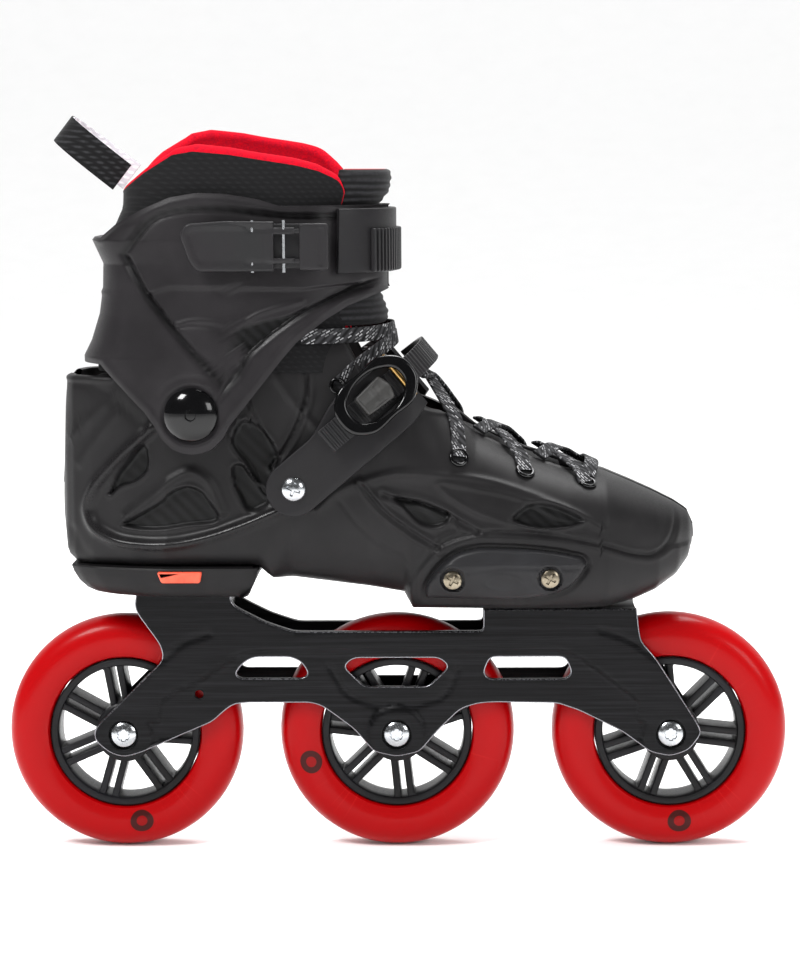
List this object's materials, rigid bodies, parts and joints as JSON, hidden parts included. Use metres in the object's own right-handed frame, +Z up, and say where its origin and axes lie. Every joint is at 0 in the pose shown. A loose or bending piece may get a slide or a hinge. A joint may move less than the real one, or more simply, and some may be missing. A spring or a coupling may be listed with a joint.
{
  "type": "inline skate",
  "caption": "Right three-wheel inline skate: hard boot with hinged cuff, quick-release buckle, ratchet strap, laced throat, soft liner and one-piece metal frame.",
  "frame": {"origin": "on the ground under the middle axle, at the middle of the wheels' width", "axes": "+Z up, +X towards the toe, -Y towards the outer (lateral) side of this right skate"},
  "size_m": [0.365, 0.1199, 0.3425],
  "materials": {
    "anodised_aluminium": "brushed black anodised extrusion",
    "zinc_steel": "bright zinc-plated steel",
    "bearing_steel": "polished bearing steel",
    "red_urethane": "cast urethane, semi-translucent, satin",
    "hub_nylon": "moulded glass-filled nylon",
    "shell_plastic": "moulded, fine satin grain",
    "heel_plastic": "moulded, satin",
    "red_elastomer": "moulded elastomer",
    "slider_plastic": "hard moulded, matte",
    "bronze_screw": "burnished bronze-grey plating",
    "cuff_plastic": "moulded, satin",
    "gloss_cap": "gloss black cap",
    "buckle_plastic": "moulded, satin",
    "strap_plastic": "flexible moulded strap",
    "gloss_lever": "gloss black lacquer",
    "pawl_metal": "grey painted die casting",
    "liner_cloth": "knitted black textile over foam",
    "red_fleece": "short-pile red lining fleece",
    "footbed_foam": "cloth-faced foam",
    "webbing": "woven webbing",
    "lace_cord": "flat woven lace with light flecks"
  },
  "bodies": {
    "boot": {"frame": "anodised_aluminium", "front_mount_bolt": "zinc_steel", "front_mount_washer": "zinc_steel", "front_mount_insert": "zinc_steel", "rear_mount_bolt": "zinc_steel", "rear_mount_washer": "zinc_steel", "rear_mount_insert": "zinc_steel", "rear_axle": "zinc_steel", "rear_spacer": "bearing_steel", "middle_axle": "zinc_steel", "middle_spacer": "bearing_steel", "front_axle": "zinc_steel", "front_spacer": "bearing_steel", "shell": "shell_plastic", "heel_base": "heel_plastic", "heel_cushion": "red_elastomer", "slider_lateral": "slider_plastic", "slider_medial": "slider_plastic", "slider_screw_lateral_rear": "bronze_screw", "slider_screw_lateral_front": "bronze_screw", "slider_screw_medial_rear": "bronze_screw", "slider_screw_medial_front": "bronze_screw", "pivot_bolt_lateral": "gloss_cap", "pivot_nut_lateral": "zinc_steel", "pivot_bolt_medial": "gloss_cap", "pivot_nut_medial": "zinc_steel", "liner_boot": "liner_cloth", "footbed": "footbed_foam", "throat_gusset": "liner_cloth", "lace": "lace_cord", "instep_screw_lateral": "zinc_steel", "instep_screw_medial": "zinc_steel"},
    "cuff": {"cuff": "cuff_plastic", "buckle_base": "buckle_plastic", "cuff_strap_anchor": "strap_plastic", "liner_cuff": "red_fleece", "liner_tongue": "liner_cloth", "pull_loop": "webbing"},
    "buckle_lever": {"buckle_lever": "buckle_plastic"},
    "buckle_bail": {"buckle_bail": "buckle_plastic"},
    "cuff_strap": {"cuff_strap": "strap_plastic", "cuff_ladder": "buckle_plastic"},
    "instep_strap": {"instep_strap_lateral": "strap_plastic", "instep_strap_medial": "strap_plastic", "instep_ladder": "buckle_plastic", "ratchet_base": "buckle_plastic"},
    "ratchet_lever": {"ratchet_ring_lever": "gloss_lever"},
    "ratchet_pawl": {"ratchet_pawl": "pawl_metal"},
    "rear_wheel": {"rear_tyre": "red_urethane", "rear_hub": "hub_nylon", "rear_bearing_lateral": "bearing_steel", "rear_bearing_medial": "bearing_steel"},
    "middle_wheel": {"middle_tyre": "red_urethane", "middle_hub": "hub_nylon", "middle_bearing_lateral": "bearing_steel", "middle_bearing_medial": "bearing_steel"},
    "front_wheel": {"front_tyre": "red_urethane", "front_hub": "hub_nylon", "front_bearing_lateral": "bearing_steel", "front_bearing_medial": "bearing_steel"}
  },
  "joints": [
    {"name": "rear_wheel_spin", "type": "hinge", "parent": "boot", "child": "rear_wheel", "pos_m": [-0.1275, 0, 0.055], "axis": [0, 1, 0], "continuous": true},
    {"name": "middle_wheel_spin", "type": "hinge", "parent": "boot", "child": "middle_wheel", "pos_m": [0, 0, 0.055], "axis": [0, 1, 0], "continuous": true},
    {"name": "front_wheel_spin", "type": "hinge", "parent": "boot", "child": "front_wheel", "pos_m": [0.1275, 0, 0.055], "axis": [0, 1, 0], "continuous": true},
    {"name": "cuff_flex", "type": "hinge", "parent": "boot", "child": "cuff", "pos_m": [-0.0905, 0, 0.208], "axis": [0, 1, 0], "range_deg": [-3, 8]},
    {"name": "buckle_lever_open", "type": "hinge", "parent": "cuff", "child": "buckle_lever", "pos_m": [-0.045, -0.0546, 0.283], "axis": [0, 0, 1], "range_deg": [0, 100]},
    {"name": "buckle_bail_swing", "type": "hinge", "parent": "buckle_lever", "child": "buckle_bail", "pos_m": [-0.062, -0.0546, 0.283], "axis": [0, 0, 1], "range_deg": [-100, 0]},
    {"name": "cuff_strap_open", "type": "hinge", "parent": "cuff", "child": "cuff_strap", "pos_m": [-0.0282, 0.0469, 0.285], "axis": [0, 0, 1], "range_deg": [0, 50]},
    {"name": "instep_strap_tilt", "type": "hinge", "parent": "boot", "child": "instep_strap", "pos_m": [-0.045, 0, 0.174], "axis": [0, 1, 0], "range_deg": [0, 2.5]},
    {"name": "ratchet_lever_lift", "type": "hinge", "parent": "instep_strap", "child": "ratchet_lever", "pos_m": [0.00391, -0.04973, 0.22614], "axis": [-0.6428, 0, 0.766], "range_deg": [0, 40]},
    {"name": "ratchet_pawl_release", "type": "hinge", "parent": "instep_strap", "child": "ratchet_pawl", "pos_m": [-0.00267, -0.04915, 0.22061], "axis": [-0.6428, 0, 0.766], "range_deg": [0, 18], "stiffness_Nm_per_rad": 0.05}
  ],
  "couplings": [
    {"joint": "buckle_bail_swing", "follows": "buckle_lever_open", "ratio": -1}
  ]
}
